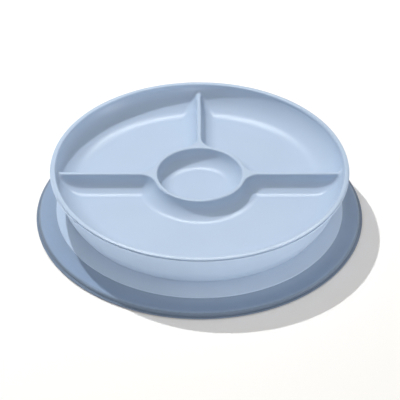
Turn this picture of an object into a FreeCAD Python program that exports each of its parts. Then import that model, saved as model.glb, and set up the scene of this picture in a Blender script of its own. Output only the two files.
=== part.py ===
"""Baby suction plate: a divided plastic plate on a plastic base with a silicone suction cup.

Millimetres, +Z up. The origin is the middle of the contact circle on the table, the
plate's back divider points along +Y, and the undivided half of the bowl faces -Y.
"""
import FreeCAD
import Part

import math
import os
from FreeCAD import Vector

os.makedirs("parts", exist_ok=True)

# Plate: overall form
PLATE_HEIGHT = 20.8         # from the skirt's foot to the rim's crown
RIM_RADIUS = 95.0           # outside of the rolled rim
RIM_WIDTH = 3.5             # rolled rim, from its inner to its outer side
RIM_DEPTH = 2.4             # rolled rim, from its crown to its flat underside
RIM_CROWN = 1.1             # radius that rounds the two upper edges of the rim's bead
RIM_STEP_WIDTH = 0.7        # ledge that runs round the outside of the bead
RIM_LAND = 0.1              # straight side between the crown's radius and the ledge
RIM_LOWER = 0.3             # radius over and under the ledge's outer edge
PLATE_WALL = 2.4            # thickness of floor, bowl wall and skirt

# Plate: bowl
FLOOR_RISE = 4.4            # from the skirt's foot to the eating surface
BOWL_ARC = 18.0             # large radius that leads the floor into the wall

# Plate: skirt
RIM_OVERHANG = 2.2          # from the rim's outer edge in to the top of the skirt
SKIRT_TAPER = 3.6           # how much smaller the skirt's radius is at its foot
SKIRT_FOOT_ROUND = 0.5      # radius on the skirt's lower outside edge
WEB_RADIUS = 1.0            # radius under the plate where skirt and bowl meet

# Plate: middle cup and dividers
CUP_MID_RADIUS = 28.3       # middle of the cup wall at its top
DIVIDER_HEIGHT = 10.4       # from the eating surface to the cup's and the dividers' tops
DIVIDER_WIDTH = 2.6         # width of cup wall and dividers at their tops
DIVIDER_DRAFT = 9.0         # degrees that each side leans
DIVIDER_CROWN = 1.0         # radius along the top edges
DIVIDER_ANGLES = (0.0, 90.0, 180.0)
JUNCTION_RADIUS = 10.5      # plan radius where a divider meets the cup wall
FOOT_RADIUS = 10.0          # radius along the foot of cup wall and dividers
JUNCTION_SPARE = 0.5        # least by which a junction's radius exceeds the foot's
FOOT_LAND = 0.9             # straight side that stays between foot radius and crown
DIVIDER_END_RADIUS = 3.0    # radius where a divider's top runs into the bowl wall

# Base
SEAM_HEIGHT = 18.0          # shoulder that the skirt stands on, above the table
BASE_WALL = 2.4             # thickness of deck and wall
BASE_PROUD = 0.7            # how far the shoulder stands out past the skirt's foot
BASE_FLARE = 2.1            # how much larger the wall's radius is at its foot
BASE_FOOT_HEIGHT = 6.3      # where the silicone begins, above the table
BASE_TOP_ROUND = 0.5        # radius on the outside edge of the shoulder
COLLAR_HEIGHT = 3.0         # locating collar above the seam
COLLAR_WALL = 2.2
TONGUE_INSET = 1.2          # step from the wall's outside to the tongue
TONGUE_WALL = 1.6
TONGUE_LENGTH = 2.9         # how far the tongue goes down into the silicone

# Suction cup
FLANGE_REACH = 13.0         # from the base's outer edge out to the flange's edge
FLANGE_HEIGHT = 3.8         # crown of the flange near its edge
FLANGE_SWEEP = 6.6          # from the base's outer edge to where the flange levels out
RIDGE_REACH = 11.2          # from the base's outer edge to the raised part's edge
RIDGE_ROUND = 1.7           # radius over the raised part's edge
LIP_THICKNESS = 1.3         # thin sealing lip outside the raised part
LIP_ROUND = 0.4             # radius on and beside the lip's upper edge
LIP_UNDERCUT = 0.7          # slope under the lip, up and out from the contact ring
CONTACT_WIDTH = 1.2         # flat ring that lies on the table
MEMBRANE_WALL = 2.4
MEMBRANE_RISE = 6.0         # underside of the membrane at its middle
CHANNEL_WALL = 1.5          # inner lip of the channel that grips the tongue
CHANNEL_LIP = 1.7           # that lip's height above the base's outer edge
CHANNEL_ROUND = 0.6         # radius on that lip's upper edge

# Fits
COLLAR_CLEARANCE = 0.3      # between collar and skirt
CHANNEL_CLEARANCE = 0.1     # between tongue and channel, each side

# Heights and radii that follow from these
FLOOR_TOP = SEAM_HEIGHT + FLOOR_RISE
DIVIDER_TOP = FLOOR_TOP + DIVIDER_HEIGHT
PLATE_TOP = SEAM_HEIGHT + PLATE_HEIGHT
BEAD_RADIUS = RIM_RADIUS - RIM_STEP_WIDTH
LEDGE_TOP = PLATE_TOP - RIM_CROWN - RIM_LAND
SKIRT_TOP_RADIUS = RIM_RADIUS - RIM_OVERHANG
SKIRT_FOOT_RADIUS = SKIRT_TOP_RADIUS - SKIRT_TAPER
BASE_TOP_RADIUS = SKIRT_FOOT_RADIUS + BASE_PROUD
BASE_FOOT_RADIUS = BASE_TOP_RADIUS + BASE_FLARE
FLANGE_RADIUS = BASE_FOOT_RADIUS + FLANGE_REACH

# Modelling
SEAM_LINE_ANGLE = -45.0     # where the turned surfaces close, clear of the dividers
ROOT = 1.0                  # how far dividers reach into the floor they stand on
NEAR = 0.01                 # tolerance for finding edges by their place
TOUCHING = 1e-6


def at(radius, height):
    """A point of a profile, in the XZ plane."""
    return Vector(radius, 0.0, height)


def arc_about(centre, radius, start, end):
    """The arc about centre from one angle to another, in degrees from +X towards +Z."""
    points = []
    for angle in (start, (start + end) / 2, end):
        turn = math.radians(angle)
        points.append(centre + at(radius * math.cos(turn), radius * math.sin(turn)))
    return Part.Arc(*points).toShape()


def rounded_corner(before, point, after, radius):
    """The arc that rounds the corner at point between two straight runs."""
    back = (before - point).normalize()
    ahead = (after - point).normalize()
    half = back.getAngle(ahead) / 2
    centre = point + (back + ahead).normalize() * (radius / math.sin(half))
    reach = radius / math.tan(half)
    crest = centre + (point - centre).normalize() * radius
    return Part.Arc(point + back * reach, crest, point + ahead * reach).toShape()


def first_point(entry):
    if isinstance(entry, tuple):
        return at(entry[0], entry[1])
    return entry.valueAt(entry.FirstParameter)


def last_point(entry):
    if isinstance(entry, tuple):
        return at(entry[0], entry[1])
    return entry.valueAt(entry.LastParameter)


def turned(entries):
    """Turn a closed profile about the Z axis.

    An entry is a corner (radius, height), a rounded corner (radius, height, rounding) or
    a ready arc. Straight lines join them.
    """
    pieces = []
    for index, entry in enumerate(entries):
        if isinstance(entry, tuple) and len(entry) == 3:
            before = last_point(entries[index - 1])
            after = first_point(entries[(index + 1) % len(entries)])
            entry = rounded_corner(before, first_point(entry), after, entry[2])
        pieces.append(entry)
    edges = []
    for index, piece in enumerate(pieces):
        if not isinstance(piece, tuple):
            edges.append(piece)
        start = last_point(piece)
        end = first_point(pieces[(index + 1) % len(pieces)])
        if start.distanceToPoint(end) > TOUCHING:
            edges.append(Part.makeLine(start, end))
    solid = Part.Face(Part.Wire(edges)).revolve(Vector(), Vector(0, 0, 1), 360)
    solid.rotate(Vector(), Vector(0, 0, 1), SEAM_LINE_ANGLE)
    return solid


def middle_of(edge):
    return edge.valueAt((edge.FirstParameter + edge.LastParameter) / 2)


def distance_from_axis(point):
    return math.hypot(point.x, point.y)


def level_edge(edge, height):
    """Whether an edge lies flat at a height."""
    box = edge.BoundBox
    return abs(box.ZMin - height) < NEAR and abs(box.ZMax - height) < NEAR


class Bowl:
    """Places on the bowl's section that the plate's other features need."""

    rim_inside = RIM_RADIUS - RIM_WIDTH
    wall_top = PLATE_TOP - RIM_DEPTH
    rise = min(BOWL_ARC, wall_top - FLOOR_TOP)
    arc_height = FLOOR_TOP + BOWL_ARC
    arc_end = -math.degrees(math.asin(1 - rise / BOWL_ARC))
    floor_radius = rim_inside - BOWL_ARC * math.cos(math.radians(arc_end))
    arc_centre = at(floor_radius, arc_height)

    @classmethod
    def on_wall(cls, point):
        """Whether a point lies on the arc between floor and wall."""
        section = at(distance_from_axis(point), point.z)
        reach = section.distanceToPoint(cls.arc_centre)
        return abs(reach - BOWL_ARC) < NEAR and section.x > cls.floor_radius - NEAR


def skirt_inside(height):
    """Inside radius of the skirt at a height."""
    share = (height - SEAM_HEIGHT) / (Bowl.wall_top - SEAM_HEIGHT)
    outside = SKIRT_FOOT_RADIUS + share * (SKIRT_TOP_RADIUS - SKIRT_FOOT_RADIUS)
    return outside - PLATE_WALL


def web_round():
    """The radius between the skirt's inside and the underside of the bowl's arc."""
    upward = (at(skirt_inside(Bowl.wall_top), Bowl.wall_top)
              - at(skirt_inside(SEAM_HEIGHT), SEAM_HEIGHT)).normalize()
    outward = at(upward.z, -upward.x)
    start = at(skirt_inside(SEAM_HEIGHT), SEAM_HEIGHT) - outward * WEB_RADIUS
    to_centre = Bowl.arc_centre - start
    along = to_centre.dot(upward)
    aside = to_centre.Length ** 2 - along ** 2
    reach = BOWL_ARC + PLATE_WALL + WEB_RADIUS
    centre = start + upward * (along - math.sqrt(reach ** 2 - aside))
    inward = Bowl.arc_centre - centre
    skirt_turn = math.degrees(math.atan2(outward.z, outward.x))
    bowl_turn = math.degrees(math.atan2(inward.z, inward.x))
    return arc_about(centre, WEB_RADIUS, skirt_turn, bowl_turn), bowl_turn - 180


def bowl_and_skirt():
    """Bowl, rolled rim and skirt in one turned section, hollow underneath."""
    web, web_turn = web_round()
    return turned([
        (0, FLOOR_TOP),
        arc_about(Bowl.arc_centre, BOWL_ARC, -90, Bowl.arc_end),
        (Bowl.rim_inside, PLATE_TOP, RIM_CROWN),
        (BEAD_RADIUS, PLATE_TOP, RIM_CROWN),
        (BEAD_RADIUS, LEDGE_TOP),
        (RIM_RADIUS, LEDGE_TOP, RIM_LOWER),
        (RIM_RADIUS, Bowl.wall_top, RIM_LOWER),
        (SKIRT_TOP_RADIUS, Bowl.wall_top),
        (SKIRT_FOOT_RADIUS, SEAM_HEIGHT, SKIRT_FOOT_ROUND),
        (skirt_inside(SEAM_HEIGHT), SEAM_HEIGHT),
        web,
        arc_about(Bowl.arc_centre, BOWL_ARC + PLATE_WALL, web_turn, -90),
        (0, FLOOR_TOP - PLATE_WALL),
    ])


def half_width_at(height):
    """Half the width of cup wall and dividers at a height."""
    lean = math.tan(math.radians(DIVIDER_DRAFT))
    return DIVIDER_WIDTH / 2 + (DIVIDER_TOP - height) * lean


def divider(angle):
    """One straight divider from the middle of the cup wall out to the rim."""
    foot = FLOOR_TOP - ROOT
    start = CUP_MID_RADIUS
    corners = []
    for side, height in ((-1, foot), (1, foot), (1, DIVIDER_TOP), (-1, DIVIDER_TOP), (-1, foot)):
        corners.append(Vector(start, side * half_width_at(height), height))
    tip = RIM_RADIUS - RIM_WIDTH / 2
    bar = Part.Face(Part.makePolygon(corners)).extrude(Vector(tip - start, 0, 0))
    bar.rotate(Vector(), Vector(0, 0, 1), angle)
    return bar


def cup_and_dividers():
    """Cup wall and dividers as one blank with rounded junctions and rounded tops."""
    foot = FLOOR_TOP - ROOT
    blank = turned([
        (CUP_MID_RADIUS - half_width_at(foot), foot),
        (CUP_MID_RADIUS + half_width_at(foot), foot),
        (CUP_MID_RADIUS + half_width_at(DIVIDER_TOP), DIVIDER_TOP),
        (CUP_MID_RADIUS - half_width_at(DIVIDER_TOP), DIVIDER_TOP),
    ])
    blank = blank.fuse([divider(angle) for angle in DIVIDER_ANGLES]).removeSplitter()
    tip_turn = math.degrees(math.asin((DIVIDER_TOP - Bowl.arc_height) / (BOWL_ARC + ROOT)))
    blank = blank.common(turned([
        (0, foot),
        arc_about(Bowl.arc_centre, BOWL_ARC + ROOT, -90, tip_turn),
        (0, DIVIDER_TOP),
    ]))

    junctions = []
    for edge in blank.Edges:
        middle = middle_of(edge)
        upright = edge.BoundBox.ZLength > DIVIDER_TOP - foot - NEAR
        beside_cup = CUP_MID_RADIUS < distance_from_axis(middle) < CUP_MID_RADIUS + DIVIDER_WIDTH
        closing_line = abs(math.degrees(math.atan2(middle.y, middle.x)) - SEAM_LINE_ANGLE) < 1
        if upright and beside_cup and not closing_line:
            junctions.append(edge)
    blank = blank.makeFillet(JUNCTION_RADIUS, junctions)

    tip = Bowl.floor_radius + (BOWL_ARC + ROOT) * math.cos(math.radians(tip_turn))
    crown = []
    for edge in blank.Edges:
        at_tip = abs(distance_from_axis(middle_of(edge)) - tip) < NEAR
        if level_edge(edge, DIVIDER_TOP) and not at_tip:
            crown.append(edge)
    return blank.makeFillet(DIVIDER_CROWN, crown)


def with_foot_fillets(blank):
    """Fillet the feet of cup wall and dividers, up the bowl wall and over the dividers' ends.

    The radius is FOOT_RADIUS along the floor. It shrinks up the bowl wall to
    DIVIDER_END_RADIUS, and keeps that over each divider's top.
    """
    side_height = DIVIDER_TOP - DIVIDER_CROWN - FLOOR_TOP
    tallest = (side_height - FOOT_LAND) / (1 - math.sin(math.radians(DIVIDER_DRAFT)))
    foot_radius = min(FOOT_RADIUS, JUNCTION_RADIUS - JUNCTION_SPARE, tallest)
    end_radius = min(DIVIDER_END_RADIUS, Bowl.wall_top - DIVIDER_TOP)
    on_floor = []
    over_ends = []
    for number, edge in enumerate(blank.Edges, 1):
        on_bowl = all(Bowl.on_wall(point) for point in edge.discretize(5))
        if level_edge(edge, FLOOR_TOP) and not on_bowl:
            on_floor.append((number, foot_radius, foot_radius))
        above_sides = edge.BoundBox.ZMin > DIVIDER_TOP - DIVIDER_CROWN - NEAR
        if on_bowl and above_sides and edge.BoundBox.ZMax < DIVIDER_TOP + NEAR:
            over_ends.append((number, end_radius, end_radius))
    document = FreeCAD.newDocument("plate")
    base = document.addObject("Part::Feature", "blank")
    base.Shape = blank
    fillet = document.addObject("Part::Fillet", "feet")
    fillet.Base = base
    fillet.Edges = on_floor + over_ends
    document.recompute()
    return fillet.Shape.Solids[0]


def plate():
    """The divided plate, moulded in one piece."""
    return with_foot_fillets(bowl_and_skirt().fuse(cup_and_dividers()).removeSplitter())


def base_shell():
    """Deck, shoulder and wall under the plate, with a collar inside its skirt."""
    deck_underside = SEAM_HEIGHT - BASE_WALL
    collar_outside = skirt_inside(SEAM_HEIGHT) - COLLAR_CLEARANCE
    collar_inside = collar_outside - COLLAR_WALL
    collar_top = SEAM_HEIGHT + COLLAR_HEIGHT
    tongue_outside = BASE_FOOT_RADIUS - TONGUE_INSET
    tongue_inside = tongue_outside - TONGUE_WALL
    tongue_foot = BASE_FOOT_HEIGHT - TONGUE_LENGTH
    return turned([
        (0, deck_underside),
        (0, SEAM_HEIGHT),
        (collar_inside, SEAM_HEIGHT),
        (collar_inside, collar_top),
        (collar_outside, collar_top),
        (collar_outside, SEAM_HEIGHT),
        (BASE_TOP_RADIUS, SEAM_HEIGHT, BASE_TOP_ROUND),
        (BASE_FOOT_RADIUS, BASE_FOOT_HEIGHT),
        (tongue_outside, BASE_FOOT_HEIGHT),
        (tongue_outside, tongue_foot),
        (tongue_inside, tongue_foot),
        (tongue_inside, BASE_FOOT_HEIGHT + CHANNEL_LIP),
        (BASE_TOP_RADIUS - BASE_WALL, deck_underside),
    ])


def suction_cup():
    """Silicone flange with a shallow domed membrane and a channel round the base's edge."""
    contact_outside = FLANGE_RADIUS - LIP_UNDERCUT
    contact_inside = contact_outside - CONTACT_WIDTH
    dome_radius = (contact_inside ** 2 + MEMBRANE_RISE ** 2) / (2 * MEMBRANE_RISE)
    dome_centre = at(0, MEMBRANE_RISE - dome_radius)
    edge_turn = math.degrees(math.asin(-dome_centre.z / dome_radius))

    groove_outside = BASE_FOOT_RADIUS - TONGUE_INSET + CHANNEL_CLEARANCE
    groove_inside = BASE_FOOT_RADIUS - TONGUE_INSET - TONGUE_WALL - CHANNEL_CLEARANCE
    groove_floor = BASE_FOOT_HEIGHT - TONGUE_LENGTH
    lip_inside = groove_inside - CHANNEL_WALL
    lip_top = BASE_FOOT_HEIGHT + CHANNEL_LIP
    lip_turn = math.degrees(math.acos(lip_inside / (dome_radius + MEMBRANE_WALL)))

    fall = BASE_FOOT_HEIGHT - FLANGE_HEIGHT
    run = FLANGE_SWEEP
    sweep_radius = (run ** 2 + fall ** 2) / (2 * fall)
    sweep_centre = at(BASE_FOOT_RADIUS + run, FLANGE_HEIGHT + sweep_radius)
    sweep_start = 180 + math.degrees(math.acos(run / sweep_radius))
    return turned([
        arc_about(dome_centre, dome_radius + MEMBRANE_WALL, 90, lip_turn),
        (lip_inside, lip_top, CHANNEL_ROUND),
        (groove_inside, lip_top),
        (groove_inside, groove_floor),
        (groove_outside, groove_floor),
        (groove_outside, BASE_FOOT_HEIGHT),
        arc_about(sweep_centre, sweep_radius, sweep_start, 270),
        (BASE_FOOT_RADIUS + RIDGE_REACH, FLANGE_HEIGHT, RIDGE_ROUND),
        (BASE_FOOT_RADIUS + RIDGE_REACH, LIP_THICKNESS, LIP_ROUND),
        (FLANGE_RADIUS, LIP_THICKNESS, LIP_ROUND),
        (FLANGE_RADIUS, LIP_UNDERCUT),
        (contact_outside, 0),
        arc_about(dome_centre, dome_radius, edge_turn, 90),
    ])


for name, solid in (("plate", plate()), ("base_shell", base_shell()), ("suction_cup", suction_cup())):
    solid.exportStep("parts/" + name + ".step")
    print(name, "valid" if solid.isValid() else "not valid", round(solid.Volume), "mm3")
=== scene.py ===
"""Looks of a baby suction plate: plastic plate and base, silicone suction cup.

Everything is in metres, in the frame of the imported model: +Z up, the table at zero,
the single back divider along +Y.
"""
import math

import bmesh
import bpy
from mathutils import Matrix, Vector


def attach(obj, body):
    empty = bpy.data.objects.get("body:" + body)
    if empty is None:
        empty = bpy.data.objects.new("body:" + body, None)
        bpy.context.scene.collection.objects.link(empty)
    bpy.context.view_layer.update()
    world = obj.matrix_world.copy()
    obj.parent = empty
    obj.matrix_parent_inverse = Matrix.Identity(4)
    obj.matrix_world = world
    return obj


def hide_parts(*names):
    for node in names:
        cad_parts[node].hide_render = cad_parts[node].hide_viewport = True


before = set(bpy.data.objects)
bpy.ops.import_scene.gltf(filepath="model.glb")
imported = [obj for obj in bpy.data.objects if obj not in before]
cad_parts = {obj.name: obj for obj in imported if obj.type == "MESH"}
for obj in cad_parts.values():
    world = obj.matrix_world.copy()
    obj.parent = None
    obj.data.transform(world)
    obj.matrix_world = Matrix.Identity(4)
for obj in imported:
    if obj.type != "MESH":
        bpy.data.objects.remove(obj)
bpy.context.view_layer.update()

# Camera: a long lens that looks down on the front half of the plate
AIM = Vector((0.00037, 0.00534, 0.00697))
DISTANCE = 1.29298
ELEVATION = math.radians(37.449)
SWING = math.radians(0.605)
TILT = math.radians(0.314)
LENS = 180.0
SENSOR = 36.0
CLIP_END = 20.0

# Light: a small lamp at the back left, three panels behind the plate that only show in the
# gloss, a soft panel overhead, low fills at the right and front, and an even surround
LAMP_PLACE = Vector((-0.533, 0.607, 1.228))
LAMP_POWER = 53.5
LAMP_RADIUS = 0.016
GLOSS_PLACES = (
    Vector((-0.248, 0.681, 1.256)), Vector((0.03, 0.77, 1.23)), Vector((0.352, 0.754, 1.188)),
)
GLOSS_POWER = 2.8
GLOSS_SIZE = 0.24
PANEL_PLACE = Vector((0.0, -0.35, 1.55))
PANEL_SIZE = 1.0
PANEL_POWER = 3.2
RIGHT_FILL_PLACE = Vector((1.361, -0.495, 0.076))
RIGHT_FILL_POWER = 4.6
FRONT_FILL_PLACE = Vector((0.126, -1.442, 0.076))
FRONT_FILL_POWER = 1.9
FILL_SIZE = 0.12
SURROUND = 0.395

# Rim, as (radius, height) on the section: a bead with a gently domed crown and a crisp
# outer edge, a fine groove under that edge, and a narrow ledge round it
RIM_LAND = (0.0926, 0.0388)
BEAD_DOME = 0.005           # radius of the crown
BEAD_EDGE = (0.0946, 0.0385)
BEAD_EDGE_ROUND = 0.0003
GROOVE_TOP = (0.0946, 0.0380)
GROOVE_DEEPEST = (0.0941, 0.0378)
LEDGE_INSIDE = (0.0942, 0.0374)
LEDGE_EDGE = (0.0950, 0.0374)
LEDGE_UNDER = (0.0950, 0.0364)
LEDGE_ROUND = 0.0002

# Waist: the skirt turns under below a soft fold and ends at the seam, and the base flares
# out from there to the silicone
SKIRT_TOP = (0.0928, 0.0364)
SKIRT_FOLD = (0.0880, 0.0200)
FOLD_ROUND = 0.028
SEAM = (0.0834, 0.0123)
SEAM_ROUND = 0.00015
SKIRT_WALL = 0.0024
BASE_INSET = 0.0002         # from the skirt's lower edge in to the top of the base's flare
BASE_FOOT = (0.0920, 0.0063)    # lowest point of the flare, on the silicone
BASE_FOOT_LAND = 0.0006
BASE_FOOT_ROUND = 0.0004
DECK_TOP = 0.0180           # the deck is raised and plugs into the skirt
DECK_WALL = 0.0024
PLUG_GAP = 0.0003
PLUG_WALL = 0.0022
TONGUE_OUTSIDE = 0.0908
TONGUE_INSIDE = 0.0892
TONGUE_TOP = 0.0080
TONGUE_FOOT = 0.0034
LIP_CLEARANCE = (0.0874, 0.0082)    # inside corner that passes over the silicone's lip
TURN_STEPS = 288
FOLD_STEPS = 10
CORNER_STEPS = 4
WELD = 0.0000001            # points closer than this are one
SHARP = math.radians(28)    # edges that turn more than this stay crisp

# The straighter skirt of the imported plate, which the folded one takes the place of
PACKED_FOOT = (0.0892, 0.0180)
PACKED_FOOT_ROUND = 0.0005
PACKED_WEB = 0.0260         # the skirt's inside stays below this height
NEAR = 0.00003              # a point this close to a line counts as on it

# Stage
FLOOR_HALF = 3.0
FLOOR_COLOUR = (0.98, 0.98, 0.975, 1.0)
FLOOR_BOUNCE = (0.22, 0.22, 0.22, 1.0)      # extra light that it throws back up
FLOOR_SHOWN = (0.050, 0.028, 0.004, 1.0)    # warm tone added where it is seen

# Colours, linear
PLATE_BLUE = (0.484, 0.598, 0.753, 1.0)
BASE_BLUE = (0.495, 0.609, 0.768, 1.0)
SILICONE_BLUE = (0.268, 0.356, 0.490, 1.0)
PAINTED_LIP_SHADE = 0.62            # painted shade on the thin lip and outer edge, as a share of the silicone's colour
PAINTED_SHADE_FROM = 0.1020           # radius at which the painted shade sets in
PAINTED_SHADE_FULL = 0.1031

# Finish, with noise patterns as (feature size, detail, roughness)
NOISE_LOW = 0.3             # noise between these two values spans what it drives
NOISE_HIGH = 0.7
PLASTIC_IOR = 1.49
PLATE_GLOSS = 0.3
BASE_GLOSS = 0.33
FLOW_CLOUDS = (0.035, 3.0, 0.5)
FLOW_SHARE = 0.015          # lighter and darker by this share of the colour
WIPE_MARKS = (0.018, 2.0, 0.5)
WIPE_SPREAD = 0.015
SPARK_GRAIN = (0.0004, 2.0, 0.5)
SPARK_STRENGTH = 0.25
SPARK_HEIGHT = 0.00002
SILICONE_IOR = 1.42
SHEEN = 0.12
SHEEN_ROUGHNESS = 0.5
DUST_CLOUDS = (0.02, 4.0, 0.6)
DUST_SHARE = 0.025
RUBBED_SKIN = (0.006, 5.0, 0.65)
RUBBED_LOW = 0.44
RUBBED_HIGH = 0.54
SKIN_GRAIN = (0.0007, 3.0, 0.6)
SKIN_STRENGTH = 0.3
SKIN_HEIGHT = 0.00004


def new_material(name):
    """An empty node material with its output."""
    material = bpy.data.materials.new(name)
    material.use_nodes = True
    nodes = material.node_tree.nodes
    nodes.clear()
    output = nodes.new("ShaderNodeOutputMaterial")
    return material, nodes, material.node_tree.links, output


def noise(nodes, links, pattern):
    """Noise over the object's own coordinates, from a (size, detail, roughness) pattern."""
    size, detail, roughness = pattern
    place = nodes.new("ShaderNodeTexCoord")
    texture = nodes.new("ShaderNodeTexNoise")
    texture.inputs["Scale"].default_value = 1.0 / size
    texture.inputs["Detail"].default_value = detail
    texture.inputs["Roughness"].default_value = roughness
    links.new(place.outputs["Object"], texture.inputs["Vector"])
    return texture.outputs["Fac"]


def noise_between(nodes, links, pattern, low, high):
    """A noise pattern spread over a range."""
    ramp = nodes.new("ShaderNodeMapRange")
    ramp.inputs["From Min"].default_value = NOISE_LOW
    ramp.inputs["From Max"].default_value = NOISE_HIGH
    ramp.inputs["To Min"].default_value = low
    ramp.inputs["To Max"].default_value = high
    links.new(noise(nodes, links, pattern), ramp.inputs["Value"])
    return ramp.outputs["Result"]


def far_from_axis(nodes, links, start, full):
    """A 0 to 1 value that rises between two distances from the upright axis."""
    place = nodes.new("ShaderNodeTexCoord")
    level = nodes.new("ShaderNodeVectorMath")
    level.operation = "MULTIPLY"
    level.inputs[1].default_value = (1.0, 1.0, 0.0)
    links.new(place.outputs["Object"], level.inputs[0])
    reach = nodes.new("ShaderNodeVectorMath")
    reach.operation = "LENGTH"
    links.new(level.outputs["Vector"], reach.inputs[0])
    ramp = nodes.new("ShaderNodeMapRange")
    ramp.interpolation_type = "SMOOTHSTEP"
    ramp.inputs["From Min"].default_value = start
    ramp.inputs["From Max"].default_value = full
    links.new(reach.outputs["Value"], ramp.inputs["Value"])
    return ramp.outputs["Result"]


def toned(colour, share):
    """A colour made darker or lighter."""
    return [share * part for part in colour[:3]] + [1.0]


def clouded(nodes, links, colour, pattern, share):
    """A colour that a noise pattern makes a share darker here and a share lighter there."""
    tint = nodes.new("ShaderNodeMix")
    tint.data_type = "RGBA"
    tint.inputs["A"].default_value = toned(colour, 1.0 - share)
    tint.inputs["B"].default_value = toned(colour, 1.0 + share)
    links.new(noise_between(nodes, links, pattern, 0.0, 1.0), tint.inputs["Factor"])
    return tint.outputs["Result"]


def grained(nodes, links, pattern, strength, height):
    """The surface direction over a fine grain."""
    bump = nodes.new("ShaderNodeBump")
    bump.inputs["Strength"].default_value = strength
    bump.inputs["Distance"].default_value = height
    links.new(noise(nodes, links, pattern), bump.inputs["Height"])
    return bump.outputs["Normal"]


def moulded_plastic(name, colour, gloss):
    """Satin injection-moulded plastic: fine spark grain, faint flow clouds, uneven gloss."""
    material, nodes, links, output = new_material(name)
    shader = nodes.new("ShaderNodeBsdfPrincipled")
    shader.inputs["IOR"].default_value = PLASTIC_IOR
    tint = clouded(nodes, links, colour, FLOW_CLOUDS, FLOW_SHARE)
    roughness = noise_between(nodes, links, WIPE_MARKS, gloss - WIPE_SPREAD, gloss + WIPE_SPREAD)
    normal = grained(nodes, links, SPARK_GRAIN, SPARK_STRENGTH, SPARK_HEIGHT)
    links.new(tint, shader.inputs["Base Color"])
    links.new(roughness, shader.inputs["Roughness"])
    links.new(normal, shader.inputs["Normal"])
    links.new(shader.outputs["BSDF"], output.inputs["Surface"])
    return material


def silicone(name, colour):
    """Matte moulded silicone: soft grain, a dusty sheen, and painted shade that darkens the thin
    lip and outer edge.
    """
    material, nodes, links, output = new_material(name)
    shader = nodes.new("ShaderNodeBsdfPrincipled")
    shader.inputs["IOR"].default_value = SILICONE_IOR
    shader.inputs["Sheen Weight"].default_value = SHEEN
    shader.inputs["Sheen Roughness"].default_value = SHEEN_ROUGHNESS
    # painted shade: the colour darkens towards the outer edge and stands in for the shade there
    painted_shade = nodes.new("ShaderNodeMix")
    painted_shade.data_type = "RGBA"
    painted_shade.inputs["B"].default_value = toned(colour, PAINTED_LIP_SHADE)
    links.new(far_from_axis(nodes, links, PAINTED_SHADE_FROM, PAINTED_SHADE_FULL), painted_shade.inputs["Factor"])
    links.new(clouded(nodes, links, colour, DUST_CLOUDS, DUST_SHARE), painted_shade.inputs["A"])
    roughness = noise_between(nodes, links, RUBBED_SKIN, RUBBED_LOW, RUBBED_HIGH)
    normal = grained(nodes, links, SKIN_GRAIN, SKIN_STRENGTH, SKIN_HEIGHT)
    links.new(painted_shade.outputs["Result"], shader.inputs["Base Color"])
    links.new(roughness, shader.inputs["Roughness"])
    links.new(normal, shader.inputs["Normal"])
    links.new(shader.outputs["BSDF"], output.inputs["Surface"])
    return material


def soft_corner(before, corner, after, radius, steps):
    """Points of the arc that rounds a corner between two straight runs of a section."""
    place = Vector(corner)
    back = (Vector(before) - place).normalized()
    ahead = (Vector(after) - place).normalized()
    half = back.angle(ahead) / 2
    cut_back = radius / math.tan(half)
    centre = place + (back + ahead).normalized() * (radius / math.sin(half))
    start = (place + back * cut_back - centre).normalized()
    end = (place + ahead * cut_back - centre).normalized()
    points = []
    for step in range(steps + 1):
        points.append(tuple(centre + start.slerp(end, step / steps) * radius))
    return points


def rim_section():
    """The rim's section, from the middle of its crown out and back in under the ledge."""
    dome_centre = RIM_LAND[1] - BEAD_DOME
    crown_width = BEAD_EDGE[0] - BEAD_EDGE_ROUND - RIM_LAND[0]
    crown = []
    for step in range(1, CORNER_STEPS + 1):
        reach = crown_width * step / CORNER_STEPS
        crown.append((RIM_LAND[0] + reach, dome_centre + math.sqrt(BEAD_DOME ** 2 - reach ** 2)))
    return [
        *crown,
        *soft_corner(crown[-1], BEAD_EDGE, GROOVE_TOP, BEAD_EDGE_ROUND, CORNER_STEPS),
        GROOVE_TOP,
        GROOVE_DEEPEST,
        LEDGE_INSIDE,
        *soft_corner(LEDGE_INSIDE, LEDGE_EDGE, LEDGE_UNDER, LEDGE_ROUND, CORNER_STEPS),
        *soft_corner(LEDGE_EDGE, LEDGE_UNDER, SKIRT_TOP, LEDGE_ROUND, CORNER_STEPS),
        SKIRT_TOP,
    ]


def wall_across():
    """The width of the skirt's level lower edge, which its lean makes more than the wall."""
    lean = math.atan2(SKIRT_FOLD[0] - SEAM[0], SKIRT_FOLD[1] - SEAM[1])
    return SKIRT_WALL / math.cos(lean)


def skirt_section():
    """The folded skirt's section, from under the rim down the outside and up the inside."""
    foot_inside = (SEAM[0] - wall_across(), SEAM[1])
    fold_inside = (SKIRT_FOLD[0] - wall_across(), SKIRT_FOLD[1])
    outside = soft_corner(SKIRT_TOP, SKIRT_FOLD, SEAM, FOLD_ROUND, FOLD_STEPS)
    edge = soft_corner(SKIRT_FOLD, SEAM, foot_inside, SEAM_ROUND, CORNER_STEPS)
    return outside + edge + [foot_inside, fold_inside]


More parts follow.
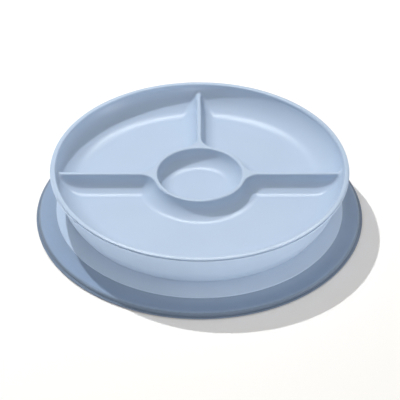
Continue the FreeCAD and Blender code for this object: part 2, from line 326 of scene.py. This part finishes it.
def base_section():
    """The base's section: raised deck, flared wall and the tongue in the silicone."""
    deck_underside = DECK_TOP - DECK_WALL
    plug_outside = SEAM[0] - wall_across() - PLUG_GAP
    plug_inside = plug_outside - PLUG_WALL
    shoulder = (SEAM[0] - BASE_INSET, SEAM[1])
    foot_top = (BASE_FOOT[0], BASE_FOOT[1] + BASE_FOOT_LAND)
    return [
        (0.0, deck_underside),
        (0.0, DECK_TOP),
        (plug_outside, DECK_TOP),
        (plug_outside, SEAM[1]),
        shoulder,
        *soft_corner(shoulder, foot_top, BASE_FOOT, BASE_FOOT_ROUND, CORNER_STEPS),
        BASE_FOOT,
        (TONGUE_OUTSIDE, BASE_FOOT[1]),
        (TONGUE_OUTSIDE, TONGUE_FOOT),
        (TONGUE_INSIDE, TONGUE_FOOT),
        (TONGUE_INSIDE, TONGUE_TOP),
        LIP_CLEARANCE,
        (plug_inside, SEAM[1] - DECK_WALL),
        (plug_inside, deck_underside),
    ]


def off_line(radius, height):
    """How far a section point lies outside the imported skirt's outer line."""
    share = (height - PACKED_FOOT[1]) / (SKIRT_TOP[1] - PACKED_FOOT[1])
    return radius - PACKED_FOOT[0] - share * (SKIRT_TOP[0] - PACKED_FOOT[0])


def on_packed_outside(point):
    """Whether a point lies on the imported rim's outer part or on the skirt."""
    radius = math.hypot(point.co.x, point.co.y)
    aside = off_line(radius, point.co.z)
    outside = abs(aside) < NEAR or radius > RIM_LAND[0] - NEAR
    inside = abs(aside + SKIRT_WALL) < NEAR and point.co.z < PACKED_WEB
    foot = point.co.z < PACKED_FOOT[1] + PACKED_FOOT_ROUND + NEAR
    return outside or inside or foot


def carry_down(form, edges, section):
    """Extrude a round edge loop along a section, ring by ring, and return the last ring."""
    for radius, height in section:
        drawn = bmesh.ops.extrude_edge_only(form, edges=edges)["geom"]
        ring = {item for item in drawn if isinstance(item, bmesh.types.BMVert)}
        edges = [
            item for item in drawn
            if isinstance(item, bmesh.types.BMEdge) and ring.issuperset(item.verts)
        ]
        for point in ring:
            share = radius / math.hypot(point.co.x, point.co.y)
            point.co = (point.co.x * share, point.co.y * share, height)
    return edges


def folded_plate():
    """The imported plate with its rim's outer part and its skirt drawn again.

    The bowl, the cup wall and the dividers keep their faces and normals.
    """
    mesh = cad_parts["plate"].data.copy()
    mesh.name = "plate_body"
    corners = [value for corner in mesh.corner_normals for value in corner.vector]
    mesh.attributes.remove(mesh.attributes["custom_normal"])
    kept = mesh.attributes.new("packed_normal", "FLOAT_VECTOR", "CORNER")
    kept.data.foreach_set("vector", corners)

    form = bmesh.new()
    form.from_mesh(mesh)
    bmesh.ops.remove_doubles(form, verts=form.verts, dist=WELD)
    outside = [face for face in form.faces if all(map(on_packed_outside, face.verts))]
    bmesh.ops.delete(form, geom=outside, context="FACES")
    kept_faces = set(form.faces)
    rim_loop = []
    web_loop = []
    for edge in form.edges:
        if edge.is_boundary:
            if edge.verts[0].co.z > PACKED_WEB:
                rim_loop.append(edge)
            else:
                web_loop.append(edge)
    last_ring = carry_down(form, rim_loop, rim_section() + skirt_section())
    bmesh.ops.bridge_loops(form, edges=last_ring + web_loop)

    layer = form.loops.layers.float_vector["packed_normal"]
    for face in form.faces:
        if face not in kept_faces:
            face.smooth = True
            for corner in face.loops:
                corner[layer] = (0.0, 0.0, 0.0)
    form.to_mesh(mesh)
    form.free()
    normals = [corner.vector.copy() for corner in mesh.attributes["packed_normal"].data]
    mesh.attributes.remove(mesh.attributes["packed_normal"])
    mesh.set_sharp_from_angle(angle=SHARP)
    mesh.normals_split_custom_set(normals)
    return mesh


def turned(name, section):
    """A solid of revolution from a section that starts on the axis."""
    form = bmesh.new()
    points = [form.verts.new((radius, 0.0, height)) for radius, height in section]
    for start, end in zip(points, points[1:] + points[:1]):
        if start.co.x > 0.0 or end.co.x > 0.0:
            form.edges.new((start, end))
    bmesh.ops.spin(
        form, geom=form.verts[:] + form.edges[:], cent=(0.0, 0.0, 0.0), axis=(0.0, 0.0, 1.0),
        angle=math.tau, steps=TURN_STEPS, use_merge=True, use_duplicate=False,
    )
    bmesh.ops.remove_doubles(form, verts=form.verts, dist=WELD)
    bmesh.ops.recalc_face_normals(form, faces=form.faces)
    mesh = bpy.data.meshes.new(name)
    form.to_mesh(mesh)
    form.free()
    mesh.shade_smooth()
    mesh.set_sharp_from_angle(angle=SHARP)
    return mesh


def stand_in(name, mesh, node):
    """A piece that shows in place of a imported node."""
    piece = bpy.data.objects.new(name, mesh)
    bpy.context.scene.collection.objects.link(piece)
    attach(piece, "root")
    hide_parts(node)
    return piece


def dress(piece, material):
    """Give a piece its finish."""
    piece.data.materials.clear()
    piece.data.materials.append(material)
    for face in piece.data.polygons:
        face.material_index = 0


def white_floor():
    """A matt white table top that throws extra light back up at the piece."""
    material, nodes, links, output = new_material("table_white")
    shader = nodes.new("ShaderNodeBsdfDiffuse")
    shader.inputs["Color"].default_value = FLOOR_COLOUR
    glow = nodes.new("ShaderNodeMix")
    glow.data_type = "RGBA"
    glow.inputs["A"].default_value = FLOOR_BOUNCE
    glow.inputs["B"].default_value = FLOOR_SHOWN
    path = nodes.new("ShaderNodeLightPath")
    links.new(path.outputs["Is Camera Ray"], glow.inputs["Factor"])
    bounce = nodes.new("ShaderNodeEmission")
    links.new(glow.outputs["Result"], bounce.inputs["Color"])
    both = nodes.new("ShaderNodeAddShader")
    links.new(shader.outputs["BSDF"], both.inputs[0])
    links.new(bounce.outputs["Emission"], both.inputs[1])
    links.new(both.outputs["Shader"], output.inputs["Surface"])
    return material


def lay_floor():
    """The table top under the plate."""
    form = bmesh.new()
    bmesh.ops.create_grid(form, x_segments=1, y_segments=1, size=FLOOR_HALF)
    mesh = bpy.data.meshes.new("table_top")
    form.to_mesh(mesh)
    form.free()
    floor = bpy.data.objects.new("table_top", mesh)
    bpy.context.scene.collection.objects.link(floor)
    floor.data.materials.append(white_floor())


def hang_light(name, kind, place, power, size):
    """A lamp or a square panel that faces the plate."""
    light = bpy.data.lights.new(name, kind)
    light.energy = power
    if kind == "AREA":
        light.size = size
    else:
        light.shadow_soft_size = size
    holder = bpy.data.objects.new(name, light)
    holder.location = place
    holder.rotation_euler = place.to_track_quat("Z", "Y").to_euler()
    bpy.context.scene.collection.objects.link(holder)
    return holder


def light_scene():
    """A small lamp for the crisp shadow, the panels and fills, and a white surround."""
    lamp = hang_light("lamp", "POINT", LAMP_PLACE, LAMP_POWER, LAMP_RADIUS)
    lamp.visible_glossy = False
    for place in GLOSS_PLACES:
        gloss = hang_light("gloss_panel", "AREA", place, GLOSS_POWER, GLOSS_SIZE)
        gloss.visible_diffuse = False
    hang_light("overhead_panel", "AREA", PANEL_PLACE, PANEL_POWER, PANEL_SIZE)
    hang_light("right_fill", "AREA", RIGHT_FILL_PLACE, RIGHT_FILL_POWER, FILL_SIZE)
    hang_light("front_fill", "AREA", FRONT_FILL_PLACE, FRONT_FILL_POWER, FILL_SIZE)

    world = bpy.data.worlds.new("white_surround")
    bpy.context.scene.world = world
    world.use_nodes = True
    nodes = world.node_tree.nodes
    links = world.node_tree.links
    nodes.clear()
    output = nodes.new("ShaderNodeOutputWorld")
    fill = nodes.new("ShaderNodeBackground")
    fill.inputs["Strength"].default_value = SURROUND
    seen = nodes.new("ShaderNodeBackground")
    seen.inputs["Strength"].default_value = 1.0
    for shade in (fill, seen):
        shade.inputs["Color"].default_value = (1.0, 1.0, 1.0, 1.0)
    path = nodes.new("ShaderNodeLightPath")
    choice = nodes.new("ShaderNodeMixShader")
    links.new(path.outputs["Is Camera Ray"], choice.inputs[0])
    links.new(fill.outputs["Background"], choice.inputs[1])
    links.new(seen.outputs["Background"], choice.inputs[2])
    links.new(choice.outputs["Shader"], output.inputs["Surface"])


def place_camera():
    """The long-lensed camera, turned about its aim and rolled a little."""
    data = bpy.data.cameras.new("view")
    data.lens = LENS
    data.sensor_width = SENSOR
    camera = bpy.data.objects.new("view", data)
    turn = Matrix.Rotation(-SWING, 4, "Z") @ Matrix.Rotation(math.pi / 2 - ELEVATION, 4, "X")
    turn = turn @ Matrix.Rotation(TILT, 4, "Z")
    back = turn @ Vector((0.0, 0.0, 1.0))
    camera.matrix_world = Matrix.Translation(AIM + DISTANCE * back) @ turn
    data.clip_end = CLIP_END
    bpy.context.scene.collection.objects.link(camera)
    bpy.context.scene.camera = camera


plate_body = stand_in("plate_body", folded_plate(), "plate")
base_body = stand_in("base_body", turned("base_body", base_section()), "base_shell")
dress(plate_body, moulded_plastic("plate_plastic", PLATE_BLUE, PLATE_GLOSS))
dress(base_body, moulded_plastic("base_plastic", BASE_BLUE, BASE_GLOSS))
dress(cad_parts["suction_cup"], silicone("silicone", SILICONE_BLUE))
lay_floor()
light_scene()
place_camera()
bpy.context.scene.view_settings.view_transform = "Standard"
